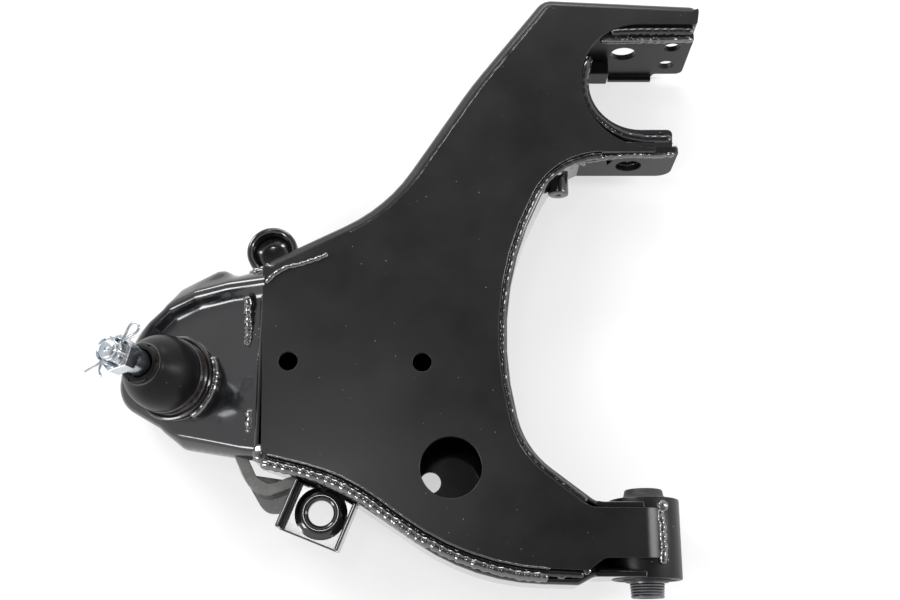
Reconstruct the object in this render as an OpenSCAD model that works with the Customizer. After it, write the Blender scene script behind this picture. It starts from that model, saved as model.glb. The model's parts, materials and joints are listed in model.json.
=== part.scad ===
// Lower control arm: a welded sheet-steel box arm with a ball joint at its tip,
// a bushed pivot tube on its near leg and a two-ear fork on its far leg.
// Origin: centre of the pivot bush. +Y runs along the pivot axis towards the fork,
// +Z points to the side that the ball stud stands on, and the arm reaches out along -X.

/* [Box arm] */
// Height of the arm's flat top over the pivot axis
plate_top = 32; // [31:0.5:34]
// Thickness of the upper plate
plate_t = 4; // [3:0.5:4]
// Thickness of the lower shell's floor and walls
shell_t = 4; // [3:0.5:4.5]
// Depth of the shell's underside below the pivot axis
shell_drop = 20; // [16:1:22]
// Height of the rolled rim along the arm's outer edge
rim_drop = 14; // [8:1:20]
// Radius of the large access hole
access_r = 22.7; // [18:0.1:24]
// Radius of the two small gauge holes
gauge_r = 7.25; // [5:0.25:9]
// Radius of the drain hole in the shell's floor
drain_r = 8; // [5:0.5:10]

/* [Pivot bush] */
// Outer radius of the pivot tube
tube_r = 26; // [25:0.5:27]
// Wall of the pivot tube
tube_wall = 4; // [3:0.5:4.5]
// Length of the pivot tube
tube_len = 58.5; // [50:0.5:60]
// Wall of the bush's pressed-in outer shell
bush_shell_t = 1.5; // [1:0.25:2]
// Outer radius of the inner sleeve
sleeve_r = 13; // [11:0.5:14]
// Radius of the pivot bolt's bore
pivot_bore_r = 7.25; // [6:0.25:8]
// Reach of the inner sleeve beyond the near end, from the bush's centre
sleeve_near = 42; // [38:1:46]
// Reach of the inner sleeve beyond the far end
sleeve_far = 37; // [34:1:42]

/* [Fork] */
// Radius of the bolt bore through both ears
fork_bore_r = 10.25; // [8:0.25:12]
// Thickness of each ear
ear_t = 5; // [4:0.5:5]
// Front face of the rear ear, along the pivot axis
rear_ear_y = 300.5; // [299.5:0.5:301.5]
// Front face of the front ear, along the pivot axis
front_ear_y = 402; // [401:0.5:403]
// Radius of the two small holes in the front ear
bracket_hole_r = 6.5; // [5:0.25:7.5]
// Distance between the two small holes
bracket_pitch = 30; // [26:1:32]
// Radius of the stop peg
peg_r = 8.25; // [6:0.25:9]

/* [Ball joint] */
// Lean of the stud away from the arm
stud_lean = 18; // [14:0.5:20]
// Radius of the ball
ball_r = 15; // [13:0.5:15]
// Running clearance between ball and seat
ball_gap = 0.05; // [0.02:0.01:0.1]
// Radius of the housing's body
housing_r = 30; // [28:0.5:31]
// Radius of the housing's flange
flange_r = 33; // [32:0.5:35]
// Radius of the stud's thread
thread_r = 8; // [7:0.5:8]
// Distance from the ball's centre to the stud's end
stud_len = 88; // [86:1:90]
// Width of the castle nut across its flats
nut_flats = 24; // [22:1:24]

/* [Link bracket] */
// Radius of the link bolt's bore
link_bore_r = 9.4; // [6:0.2:10]
// Turn of the bracket about the vertical
link_turn = -21.5; // [-24:0.5:-19]
// Height of the bracket's flanges over its base
link_height = 20; // [14:1:24]

/* [Hidden] */
$fn = 72;
arc_step = 6;
sliver = 0.05;
far = 500;

plate_under = plate_top - plate_t;
ball_centre = [-357.8, 122, 10.6];
link_centre = [-241, 19.3, 0];
tip_cut_x = -290;

bush_bore = tube_r - tube_wall;
rubber_r = bush_bore - bush_shell_t;
bond_gap = 0.05;

// Socket joint heights along the stud, from the ball's centre
pan_top = -7;
pan_t = 5;
pan_depth = 19;
housing_floor = -24;
housing_lip = 9;
cap_t = 3;
seat_r = 19.5;
seat_top = 7.5;
seat_floor = -17;
throat_r = 14;
boot_base = 4;
boot_top = 46;
waist_r = 7.5;
neck_r = 9;
taper_start = 44;
taper_end = 63;
nut_base = 65;
hex_height = 13;
castle_height = 7;
castle_r = 10.5;
slot_w = 4.4;
pin_height = nut_base + hex_height + 3;
pin_turn = 44;

// Outlines list their corners clockwise as [x, y, fillet radius].
plate_corners = [[60, 430.5, 7], [57, 412, 3], [-39, 412, 48], [-39, 303, 55], [18, 303, 1],
    [18, 299.5, 1], [-62.5, 299.5, 64], [-124, 179, 256], [-94.4, 59.8, 71], [-44, 20.5, 20],
    [8, 20.5, 2], [8, -15.5, 4], [-34, -15.5, 6], [-46, -24.5, 5], [-132, -20, 200],
    [-222, 45, 150], [-283.5, 60, 6], [-288.5, 208, 12], [-195.3, 254.5, 130],
    [-128, 359, 300], [-68.6, 437, 14]];
shell_corners = [[56, 426.3, 3], [56, 407, 2], [-33, 407, 44], [-33, 320, 40], [32, 320, 4],
    [32, 305.5, 0.5], [-52, 305.5, 58], [-117, 178, 250], [-88.6, 63.5, 65], [-38, 25, 15],
    [8, 25, 0.5], [8, -28.5, 0.5], [-42, -28.5, 10], [-53, -34.5, 5], [-128, -32.5, 170],
    [-226, 33, 120], [-290, 55, 3], [-290, 203.5, 3], [-192.4, 251.2, 134],
    [-124.5, 356.6, 296], [-66.6, 432.8, 10]];
// The pan's outline is in the socket's own frame, with the stud's axis at its origin.
pan_corners = [[90, -70, 1], [4, -53, 8], [-14, -37, 14], [-53, -15, 26], [-51, 12, 20],
    [-36, 40, 25], [-14, 57, 8], [-3, 73, 14], [33, 87, 12], [46, 79, 15], [90, 86, 1]];
front_ear_corners = [[-30, 28, 1], [55, 28, 4], [55, -35.5, 6], [31, -35.5, 3], [29, -43, 2],
    [-24, -43, 3], [-30, -30, 6]];
rear_ear_corners = [[-48, 27.9, 1], [36.5, 27.9, 4], [36.5, -21, 12], [-48, -21, 3]];

function xy(p) = [p[0], p[1]];
function unit(v) = v / norm(v);
function cross2(a, b) = a[0] * b[1] - a[1] * b[0];
function left_of(v) = [-v[1], v[0]];
function turned(v, a) = [v[0] * cos(a) - v[1] * sin(a), v[0] * sin(a) + v[1] * cos(a)];
function corner_at(c, i) = c[(i + len(c)) % len(c)];
function edge_way(c, i) = unit(xy(corner_at(c, i + 1)) - xy(corner_at(c, i)));

// Corner i after every edge of the outline has moved inwards by d
function moved_corner(c, i, d) =
    let (u = edge_way(c, i - 1), v = edge_way(c, i))
    let (p = xy(corner_at(c, i)) - left_of(u) * d, q = xy(corner_at(c, i)) - left_of(v) * d)
    p + u * cross2(q - p, v) / cross2(u, v);

// Points of the fillet at corner i of the outline moved inwards by d
function corner_arc(c, i, d) =
    let (u = edge_way(c, i - 1), v = edge_way(c, i), turn = atan2(cross2(u, v), u * v))
    let (r = max(c[i][2] + sign(turn) * d, sliver))
    let (start = moved_corner(c, i, d) - u * r * tan(abs(turn) / 2))
    let (centre = start + left_of(u) * sign(turn) * r, steps = max(2, ceil(abs(turn) / arc_step)))
    [for (k = [0:steps]) centre + turned(start - centre, turn * k / steps)];

function rounded_outline(c, d) = [for (i = [0:len(c) - 1]) each corner_arc(c, i, d)];

module slab(c, z0, z1, d = 0) {
    translate([0, 0, z0]) linear_extrude(z1 - z0) polygon(rounded_outline(c, d));
}

// Solid block of the lower shell's outer form, for trimming what is welded against it
module shell_block() {
    slab(shell_corners, -shell_drop, plate_under);
}

// Frame of the socket joint: origin at the ball's centre, Z along the stud
module at_ball() {
    translate(ball_centre) rotate([0, -stud_lean, 0]) children();
}

// Frame of the link bracket: origin on its hole's axis, Y towards the arm
module at_link() {
    translate(link_centre) rotate([0, 0, link_turn]) children();
}

// Cylinder along Y from y0 to y1
module y_rod(r, y0, y1, x = 0, z = 0) {
    translate([x, y1, z]) rotate([90, 0, 0]) cylinder(r = r, h = y1 - y0);
}

// Flat ear standing across the pivot axis, its front face at y0
module ear_blank(corners, y0) {
    translate([0, y0 + ear_t, 0]) rotate([90, 0, 0])
        linear_extrude(ear_t) polygon(rounded_outline(corners, 0));
}

module ring(r_out, r_in, z0, z1) {
    translate([0, 0, z0]) difference() {
        cylinder(r = r_out, h = z1 - z0);
        translate([0, 0, -1]) cylinder(r = r_in, h = z1 - z0 + 2);
    }
}

module upper_plate() {
    color("#2b2b2d") difference() {
        union() {
            slab(plate_corners, plate_under, plate_top);
            difference() {
                slab(plate_corners, plate_under - rim_drop, plate_under + sliver);
                slab(shell_corners, -shell_drop, plate_top);
                // the rim runs along the outer edge only, from the tip to the fork's end
                translate([-80, -100, -far / 2]) cube([280, 512.5, far]);
            }
        }
        translate([-266.2, 129, 0]) cylinder(r = gauge_r, h = far);
        translate([-165.9, 128.2, 0]) cylinder(r = gauge_r, h = far);
        translate([-144.3, 49.4, 0]) cylinder(r = access_r, h = far);
    }
}

module lower_shell() {
    fork_open_x = -31;
    fork_open_y = 366;
    color("#202022") difference() {
        shell_block();
        slab(shell_corners, shell_t - shell_drop, far, shell_t);
        // the near leg is open where it meets the pivot tube
        translate([-30, shell_t - 28.5, shell_t - shell_drop]) cube([60, 53.5 - 2 * shell_t, far]);
        translate([-4, -far / 2, -far / 2]) cube([60, far / 2 + 60, far]);
        y_rod(tube_r, -60, 60);
        // the far leg is open below, between the ear and the rolled rim
        translate([fork_open_x, fork_open_y, -far / 2]) cube([far, far, far]);
        // slot that takes the rear ear
        translate([-48.5, rear_ear_y, -far / 2]) cube([85, ear_t, far]);
        y_rod(fork_bore_r, rear_ear_y, 340);
        translate([-160, 45, -far / 2]) cylinder(r = drain_r, h = far);
    }
}

module socket_pan() {
    color("#1c1c1e") difference() {
        at_ball() difference() {
            slab(pan_corners, pan_top - pan_depth, pan_top);
            slab(pan_corners, pan_top - pan_depth - 1, pan_top - pan_t, 4);
            translate([0, 0, -far / 2]) cylinder(r = housing_r, h = far);
        }
        translate([tip_cut_x, -far / 2, -far / 2]) cube([far, far, far]);
    }
}

module ball_housing() {
    color("#242426") at_ball() difference() {
        rotate_extrude() polygon([[0, housing_floor], [housing_r, housing_floor],
            [housing_r, pan_top], [flange_r, pan_top], [flange_r, pan_top + 4],
            [26.5, pan_top + 7], [26.5, boot_base], [24.5, boot_base], [24.5, housing_lip],
            [0, housing_lip]]);
        translate([0, 0, housing_floor - 1]) cylinder(r = seat_r, h = seat_top - housing_floor + 1);
        translate([0, 0, housing_floor - 1]) cylinder(r = 23, h = cap_t + 1);
        cylinder(r = throat_r, h = far);
    }
}

module ball_seat() {
    color("#d8d6cc") at_ball() difference() {
        translate([0, 0, seat_floor]) cylinder(r = seat_r, h = seat_top - seat_floor);
        sphere(r = ball_r + ball_gap);
        cylinder(r = sqrt(pow(ball_r + ball_gap, 2) - pow(seat_top, 2)), h = far);
        translate([0, 0, seat_floor - 1]) cylinder(r = 5, h = 8);
    }
}

module preload_washer() {
    color("#8c8c90") at_ball() ring(18.5, 8, -21, -17);
}

module housing_cap() {
    color("#3a3a3c") at_ball()
        translate([0, 0, housing_floor]) cylinder(r = 23, h = cap_t);
}

module ball_stud() {
    color("#c4c6c9") at_ball() difference() {
        union() {
            sphere(r = ball_r);
            rotate_extrude() polygon([[0, 8], [waist_r, 8], [waist_r, 20], [neck_r, 28],
                [neck_r, taper_start - 4], [10.2, taper_start], [thread_r + 0.4, taper_end], [thread_r, taper_end + 1],
                [thread_r, stud_len - 1], [thread_r - 1, stud_len], [0, stud_len]]);
        }
        translate([0, 0, pin_height]) rotate([0, 90, pin_turn])
            cylinder(r = 2.1, h = 60, center = true);
    }
}

// Rubber dust cover: a hollow dome from the housing's neck to the stud's taper
module boot() {
    color("#2a2a2b") at_ball() rotate_extrude() polygon([[24.8, boot_base + 0.3],
        [28, boot_base + 0.3], [28, 8], [29, 13], [28.4, 19], [26.6, 26], [23, 33], [18.4, 38.5],
        [15.5, 41], [15.5, boot_top], [10.8, boot_top], [10.8, 40.5], [15.5, 36], [20, 31],
        [23.4, 25], [25.2, 19], [25.8, 13], [24.8, 9]]);
}

module boot_base_ring() {
    color("#4a4a4c") at_ball() ring(29.2, 28.05, boot_base + 0.4, boot_base + 3);
}

module boot_neck_ring() {
    color("#3c3c3e") at_ball() ring(16.4, 15.8, 42.2, 44.6);
}

module castle_nut() {
    slots = 6;
    color("#b9bdc2") at_ball() rotate([0, 0, pin_turn]) difference() {
        union() {
            intersection() {
                translate([0, 0, nut_base]) rotate([0, 0, 30])
                    cylinder(r = nut_flats / sqrt(3), h = hex_height, $fn = 6);
                // chamfer that takes the hexagon's corners off at its base
                translate([0, 0, nut_base])
                    cylinder(r1 = nut_flats / 2, r2 = nut_flats / 2 + 24, h = 24);
            }
            translate([0, 0, nut_base + 1]) cylinder(r = castle_r, h = hex_height + castle_height - 1);
        }
        translate([0, 0, nut_base - 1]) cylinder(r = thread_r, h = far);
        for (k = [0:slots - 1]) rotate([0, 0, k * 360 / slots])
            translate([0, -slot_w / 2, nut_base + hex_height]) cube([30, slot_w, far]);
    }
}

// Split pin: a looped head on one side, and two legs spread beyond the nut
module cotter_pin() {
    wire_r = 1.1;
    head_x = 17;
    leg_x = -14;
    color("#cfd2d6") at_ball() translate([0, 0, pin_height]) rotate([0, 0, pin_turn]) {
        translate([leg_x, 0, 0]) rotate([0, 90, 0]) cylinder(r = 1.9, h = head_x - leg_x);
        translate([head_x + 3.4, 0, 0]) rotate_extrude() translate([3.2, 0]) circle(r = wire_r);
        for (side = [-1, 1]) translate([leg_x + 0.6, side * 0.9, 0])
            rotate([0, -90, side * -9]) cylinder(r = wire_r, h = side > 0 ? 14 : 8);
    }
}

module bush_tube() {
    color("#2c2c2e") difference() {
        y_rod(tube_r, -tube_len / 2, tube_len / 2);
        y_rod(bush_bore, -far / 2, far / 2);
    }
}

module bush_outer_shell() {
    color("#55565a") difference() {
        y_rod(bush_bore, 1 - tube_len / 2, tube_len / 2 - 1);
        y_rod(rubber_r, -far / 2, far / 2);
    }
}

module bush_rubber() {
    lip_r = 17;
    lip = 2.5;
    color("#1b1b1b") difference() {
        union() {
            y_rod(rubber_r, 4 - tube_len / 2, tube_len / 2 - 4);
            y_rod(lip_r, lip - 4 - tube_len / 2, tube_len / 2 + 4 - lip);
        }
        y_rod(sleeve_r + bond_gap, -far / 2, far / 2);
    }
}

module bush_inner_sleeve() {
    color("#8f9194") difference() {
        y_rod(sleeve_r, -sleeve_near, sleeve_far);
        y_rod(pivot_bore_r, -far / 2, far / 2);
    }
}

module fork_ear_front() {
    bracket_x = 39;
    bracket_z = 11;
    color("#3a3a3d") difference() {
        union() {
            ear_blank(front_ear_corners, front_ear_y);
            // top flange, welded under the upper plate
            translate([-18, front_ear_y, plate_under - 4]) cube([72, 20, 4]);
            // stiffening lip along the lower edge
            translate([-8, front_ear_y - 4, -43]) cube([37, 4 + sliver, 4]);
        }
        y_rod(fork_bore_r, 380, 430);
        for (k = [0, 1])
            y_rod(bracket_hole_r, 380, 430, bracket_x, bracket_z - k * bracket_pitch);
    }
}

module fork_ear_rear() {
    color("#3a3a3d") difference() {
        ear_blank(rear_ear_corners, rear_ear_y);
        y_rod(fork_bore_r, 280, 320);
        translate([0, 320, 0]) rotate([90, 0, 0]) linear_extrude(40)
            polygon([[-19, 11], [-14, 11], [-17.5, 2]]);
    }
}

module fork_stop_tab() {
    tab_x = -29;
    tab_w = 18;
    tab_y = 390;
    tab_t = 4;
    color("#202022") translate([tab_x, tab_y, -31]) {
        cube([tab_w, tab_t, 19]);
        translate([0, 0, 19 - tab_t]) cube([tab_w, front_ear_y - tab_y, tab_t]);
    }
}

module stop_peg() {
    color("#202022") difference() {
        y_rod(peg_r, 275, 300, -57.5);
        shell_block();
    }
}

// Half-round collar of sheet, standing against the arm's outer edge
module stop_bracket() {
    color("#1c1c1e") difference() {
        translate([-283, 219, 2]) rotate([0, 0, -12]) rotate_extrude(angle = 222)
            translate([17, 0]) square([3, 22]);
        slab(plate_corners, -far / 2, far / 2);
        slab(shell_corners, -far / 2, far / 2);
    }
}

module link_bracket() {
    base_t = 3.5;
    flange_t = 3;
    left = -26;
    right = 24;
    front = -22;
    reach = 70;
    color("#232325") difference() {
        at_link() difference() {
            union() {
                translate([left, front, 0]) cube([right - left, reach, base_t]);
                translate([left, front, 0]) cube([flange_t, reach, link_height]);
                translate([right - flange_t, front, 0]) cube([flange_t, reach, link_height]);
                translate([0, 0, base_t]) cylinder(r1 = 18, r2 = 14.5, h = 2.5);
            }
            translate([0, 0, -1]) cylinder(r = link_bore_r, h = far);
        }
        shell_block();
    }
}

// Brace from the socket pan to the link bracket: a floor, a web and a top strip
module bracket_gusset() {
    floor_points = [[-303, 50], [-297, 42], [-285.5, 23], [-280, 19.5], [-262, 20], [-250, 42]];
    strip_points = [[-303, 50], [-296, 40], [-288, 33], [-280, 31], [-250, 42], [-250, 51],
        [-279, 40], [-289, 45], [-294, 51]];
    web_points = [[-303, 50], [-296, 40], [-288, 33], [-280, 31], [-250, 42], [-251, 45],
        [-280, 34], [-287, 36], [-293.5, 42], [-300, 51]];
    color("#4d4a47") difference() {
        union() {
            translate([0, 0, -4]) linear_extrude(3) polygon(floor_points);
            translate([0, 0, -1.5]) linear_extrude(11) polygon(web_points);
            translate([0, 0, 8]) linear_extrude(3) polygon(strip_points);
        }
        shell_block();
        at_link() translate([-26, -far / 2, -far / 2]) cube([far, far, far]);
    }
}

upper_plate();
lower_shell();
socket_pan();
ball_housing();
ball_seat();
preload_washer();
housing_cap();
ball_stud();
boot();
boot_base_ring();
boot_neck_ring();
castle_nut();
cotter_pin();
bush_tube();
bush_outer_shell();
bush_rubber();
bush_inner_sleeve();
fork_ear_front();
fork_ear_rear();
fork_stop_tab();
stop_peg();
stop_bracket();
link_bracket();
bracket_gusset();
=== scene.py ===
import json
import math
import random

import bpy
from mathutils import Matrix, Vector, noise

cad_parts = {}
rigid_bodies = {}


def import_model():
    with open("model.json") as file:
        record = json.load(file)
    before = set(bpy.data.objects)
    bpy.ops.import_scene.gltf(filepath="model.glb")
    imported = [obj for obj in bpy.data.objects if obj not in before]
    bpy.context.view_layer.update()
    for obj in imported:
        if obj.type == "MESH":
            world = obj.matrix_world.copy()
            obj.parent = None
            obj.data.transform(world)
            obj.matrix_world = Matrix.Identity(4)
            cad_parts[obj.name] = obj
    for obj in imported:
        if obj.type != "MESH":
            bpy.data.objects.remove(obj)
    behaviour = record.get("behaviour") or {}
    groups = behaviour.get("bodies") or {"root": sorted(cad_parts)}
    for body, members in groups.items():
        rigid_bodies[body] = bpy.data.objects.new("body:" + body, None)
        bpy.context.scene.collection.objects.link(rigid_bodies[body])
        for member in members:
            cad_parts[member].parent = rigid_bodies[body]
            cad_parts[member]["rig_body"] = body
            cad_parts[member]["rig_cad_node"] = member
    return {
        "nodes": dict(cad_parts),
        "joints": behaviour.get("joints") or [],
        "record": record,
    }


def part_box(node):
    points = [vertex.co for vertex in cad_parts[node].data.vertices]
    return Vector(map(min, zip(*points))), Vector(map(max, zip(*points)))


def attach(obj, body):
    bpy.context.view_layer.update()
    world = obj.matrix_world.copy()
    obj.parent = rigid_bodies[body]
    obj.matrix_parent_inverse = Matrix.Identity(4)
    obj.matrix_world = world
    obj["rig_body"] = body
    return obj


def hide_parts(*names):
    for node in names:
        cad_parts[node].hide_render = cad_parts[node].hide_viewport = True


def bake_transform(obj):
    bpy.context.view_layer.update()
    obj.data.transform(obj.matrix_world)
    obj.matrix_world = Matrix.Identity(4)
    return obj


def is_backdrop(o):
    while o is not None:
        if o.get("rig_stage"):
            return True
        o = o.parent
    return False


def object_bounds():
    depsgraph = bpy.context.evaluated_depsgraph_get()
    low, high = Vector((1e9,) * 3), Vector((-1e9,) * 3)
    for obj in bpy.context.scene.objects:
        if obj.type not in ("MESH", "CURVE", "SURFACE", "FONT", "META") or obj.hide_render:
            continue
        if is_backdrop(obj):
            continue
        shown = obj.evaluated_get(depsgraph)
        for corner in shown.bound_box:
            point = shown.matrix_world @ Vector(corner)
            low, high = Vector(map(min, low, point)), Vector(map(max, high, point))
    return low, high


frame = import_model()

cadLow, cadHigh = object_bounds()
mm = 0.001
joints = {joint["name"]: joint for joint in frame["joints"]}
ballCentre = Vector(joints["ball_travel"]["pos_m"])
studAxis = Vector(joints["stud_spin"]["axis"])
studLean = math.atan2(studAxis.x, studAxis.z)
tipPlace = Matrix.Translation(ballCentre) @ Matrix.Rotation(studLean, 4, "Y")  # the socket's own frame
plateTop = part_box("upper_plate")[1].z
print("frame loaded, plate top at", round(plateTop / mm, 2), "mm")


# small tools

def takeUp(piece):
    # leaves the piece as the only one selected, in object mode
    if bpy.context.object and bpy.context.object.mode != "OBJECT":
        bpy.ops.object.mode_set(mode="OBJECT")
    bpy.ops.object.select_all(action="DESELECT")
    piece.select_set(True)
    bpy.context.view_layer.objects.active = piece


def openMesh(piece, kind="VERT"):
    takeUp(piece)
    bpy.ops.object.mode_set(mode="EDIT")
    bpy.ops.mesh.select_mode(type=kind)


def closeMesh():
    bpy.ops.object.mode_set(mode="OBJECT")


def useModifier(piece, kind, **settings):
    takeUp(piece)
    modifier = piece.modifiers.new(kind.lower(), kind)
    for setting, value in settings.items():
        setattr(modifier, setting, value)
    bpy.ops.object.modifier_apply(modifier=modifier.name)


def smooth(piece, angle=38):
    takeUp(piece)
    bpy.ops.object.shade_smooth_by_angle(angle=math.radians(angle))


def settle(piece, place):
    # puts a piece modelled in its own frame where it belongs, with its object back at the origin
    takeUp(piece)
    piece.matrix_world = place @ piece.matrix_world
    bpy.ops.object.transform_apply(location=True, rotation=True, scale=True)


def finishPiece(piece, material, body, slot, *nodes):
    piece.data.materials.clear()
    piece.data.materials.append(material)
    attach(piece, body)
    if nodes:
        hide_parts(*nodes)


def copyNode(node, name):
    # the node's own shape, merged into clean faces so that its edges can be rounded
    takeUp(frame["nodes"][node])
    bpy.ops.object.duplicate()
    piece = bpy.context.object
    piece.name = name
    piece.parent = None
    del piece["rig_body"]
    del piece["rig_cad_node"]
    openMesh(piece)
    bpy.ops.mesh.select_all(action="SELECT")
    bpy.ops.mesh.customdata_custom_splitnormals_clear()
    bpy.ops.mesh.remove_doubles(threshold=0.01 * mm)
    bpy.ops.mesh.dissolve_limited(angle_limit=math.radians(0.8))
    closeMesh()
    return piece


def drawTogether(piece, reach):
    # corner arcs finer than the rounding to come are merged, so that no rolled edge crosses itself
    openMesh(piece)
    bpy.ops.mesh.select_all(action="SELECT")
    bpy.ops.mesh.remove_doubles(threshold=reach * mm)
    closeMesh()


def selectEdges(piece, wanted):
    openMesh(piece, "EDGE")
    bpy.ops.mesh.select_all(action="DESELECT")
    closeMesh()
    points = piece.data.vertices
    for edge in piece.data.edges:
        edge.select = wanted(points[edge.vertices[0]].co, points[edge.vertices[1]].co)
    bpy.ops.object.mode_set(mode="EDIT")


def rollEdges(piece, wanted, width, steps):
    selectEdges(piece, wanted)
    bpy.ops.mesh.bevel(offset=width * mm, segments=steps, profile=0.5, affect="EDGES", clamp_overlap=False)
    closeMesh()


def roundEdges(piece, width, steps=3, angle=32):
    smooth(piece, angle)
    useModifier(piece, "BEVEL", width=width * mm, segments=steps, limit_method="ANGLE",
                angle_limit=math.radians(angle), use_clamp_overlap=False, harden_normals=False)
    smooth(piece, angle)
    useModifier(piece, "WEIGHTED_NORMAL", keep_sharp=True, weight=60)


def curveThrough(points, step):
    # a smooth line through a few points, walked in even steps
    knots = [Vector(p) for p in points]
    knots = [knots[0] * 2 - knots[1]] + knots + [knots[-1] * 2 - knots[-2]]
    fine = []
    for k in range(1, len(knots) - 2):
        a, b, c, d = knots[k - 1:k + 3]
        for s in range(24):
            t = s / 24
            fine.append(0.5 * (2 * b + (c - a) * t + (2 * a - 5 * b + 4 * c - d) * t ** 2
                               + (3 * b - a - 3 * c + d) * t ** 3))
    fine.append(knots[-2])
    return evenSteps(fine, step)


def evenSteps(points, step):
    walked = [points[0].copy()]
    left = step
    for a, b in zip(points, points[1:]):
        length = (b - a).length
        while length >= left > 0:
            a = a.lerp(b, left / length)
            walked.append(a.copy())
            length = (b - a).length
            left = step
        left -= length
    return walked


def tube(name, points, radii, sides):
    # a round bar along a line of points, with its own radius at each
    takeUp(frame["nodes"]["upper_plate"])
    bpy.ops.curve.primitive_nurbs_path_add()
    piece = bpy.context.object
    piece.name = name
    line = piece.data
    line.splines.clear()
    spline = line.splines.new("POLY")
    spline.points.add(len(points) - 1)
    for point, place, radius in zip(spline.points, points, radii):
        point.co = (*place, 1)
        point.radius = radius
    line.dimensions = "3D"
    line.bevel_depth = 1.0
    line.bevel_resolution = sides
    line.use_fill_caps = True
    takeUp(piece)
    bpy.ops.object.convert(target="MESH")
    openMesh(piece)
    bpy.ops.mesh.select_all(action="SELECT")
    bpy.ops.mesh.remove_doubles(threshold=0.002 * mm)
    bpy.ops.mesh.normals_make_consistent(inside=False)
    closeMesh()
    smooth(piece, 60)
    return piece


def closedProfile(profile):
    return profile + [profile[0]]


def turned(name, profile, steps=96):
    # a profile of (radius, height) in mm, drawn point by point and spun about Z
    takeUp(frame["nodes"]["upper_plate"])
    first = profile[0]
    bpy.ops.mesh.primitive_plane_add(size=mm, location=(first[0] * mm, 0, first[1] * mm))
    piece = bpy.context.object
    piece.name = name
    bpy.ops.object.transform_apply(location=True, rotation=True, scale=True)
    openMesh(piece)
    bpy.ops.mesh.select_all(action="SELECT")
    bpy.ops.mesh.merge(type="CENTER")
    for (r0, z0), (r1, z1) in zip(profile, profile[1:]):
        bpy.ops.mesh.extrude_region_move(
            TRANSFORM_OT_translate={"value": ((r1 - r0) * mm, 0, (z1 - z0) * mm)})
    bpy.ops.mesh.select_all(action="SELECT")
    bpy.ops.mesh.spin(steps=steps, angle=2 * math.pi, center=(0, 0, 0), axis=(0, 0, 1))
    bpy.ops.mesh.select_all(action="SELECT")
    bpy.ops.mesh.remove_doubles(threshold=0.003 * mm)
    bpy.ops.mesh.normals_make_consistent(inside=False)
    closeMesh()
    smooth(piece, 35)
    return piece


# surface effects shared by the finishes

def newGroup(name, inputs, outputs):
    group = bpy.data.node_groups.new(name, "ShaderNodeTree")
    for label, kind, value in inputs:
        socket = group.interface.new_socket(label, in_out="INPUT", socket_type=kind)
        if value is not None:
            socket.default_value = value
    for label, kind in outputs:
        group.interface.new_socket(label, in_out="OUTPUT", socket_type=kind)
    return group, group.nodes.new("NodeGroupInput"), group.nodes.new("NodeGroupOutput")


def mathNode(tree, operation, first, second=None):
    node = tree.nodes.new("ShaderNodeMath")
    node.operation = operation
    for socket, value in zip(node.inputs, (first, second)):
        if value is None:
            continue
        if isinstance(value, (int, float)):
            socket.default_value = value
        else:
            tree.links.new(value, socket)
    return node.outputs[0]


def noiseNode(tree, vector, scale, detail=4.0, rough=0.55):
    node = tree.nodes.new("ShaderNodeTexNoise")
    node.inputs["Detail"].default_value = detail
    node.inputs["Roughness"].default_value = rough
    tree.links.new(vector, node.inputs["Vector"])
    if isinstance(scale, (int, float)):
        node.inputs["Scale"].default_value = scale
    else:
        tree.links.new(scale, node.inputs["Scale"])
    return node.outputs["Fac"]


def buildDust():
    # sparse pale specks, a cloudy film and the fine grain of the paint itself
    group, given, result = newGroup(
        "dustAndFilm",
        [("Vector", "NodeSocketVector", None), ("Speck Scale", "NodeSocketFloat", 420.0),
         ("Speck Share", "NodeSocketFloat", 0.05), ("Film Scale", "NodeSocketFloat", 14.0),
         ("Grain Scale", "NodeSocketFloat", 900.0)],
        [("Specks", "NodeSocketFloat"), ("Film", "NodeSocketFloat"), ("Grain", "NodeSocketFloat")])
    cells = group.nodes.new("ShaderNodeTexVoronoi")
    group.links.new(given.outputs["Vector"], cells.inputs["Vector"])
    group.links.new(given.outputs["Speck Scale"], cells.inputs["Scale"])
    split = group.nodes.new("ShaderNodeSeparateColor")
    group.links.new(cells.outputs["Color"], split.inputs[0])
    chosen = mathNode(group, "LESS_THAN", split.outputs[0], given.outputs["Speck Share"])
    size = mathNode(group, "MULTIPLY", split.outputs[1], 0.26)
    inside = mathNode(group, "LESS_THAN", cells.outputs["Distance"], size)
    group.links.new(mathNode(group, "MULTIPLY", chosen, inside), result.inputs["Specks"])
    film = noiseNode(group, given.outputs["Vector"], given.outputs["Film Scale"], 5.0, 0.6)
    group.links.new(film, result.inputs["Film"])
    grain = noiseNode(group, given.outputs["Vector"], given.outputs["Grain Scale"], 2.0, 0.5)
    group.links.new(grain, result.inputs["Grain"])
    return group


def buildToolMarks():
    # fine rings left by turning, and broad stains of the plating
    group, given, result = newGroup(
        "toolMarks",
        [("Vector", "NodeSocketVector", None), ("Ring Scale", "NodeSocketFloat", 700.0),
         ("Stain Scale", "NodeSocketFloat", 60.0)],
        [("Rings", "NodeSocketFloat"), ("Stains", "NodeSocketFloat")])
    wave = group.nodes.new("ShaderNodeTexWave")
    wave.wave_type = "BANDS"
    wave.bands_direction = "Z"
    wave.inputs["Distortion"].default_value = 1.5
    wave.inputs["Detail"].default_value = 2.0
    group.links.new(given.outputs["Vector"], wave.inputs["Vector"])
    group.links.new(given.outputs["Ring Scale"], wave.inputs["Scale"])
    group.links.new(wave.outputs["Fac"], result.inputs["Rings"])
    group.links.new(noiseNode(group, given.outputs["Vector"], given.outputs["Stain Scale"], 4.0),
                    result.inputs["Stains"])
    return group


dustAndFilm = buildDust()
toolMarks = buildToolMarks()
print("shared effects built")


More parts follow.
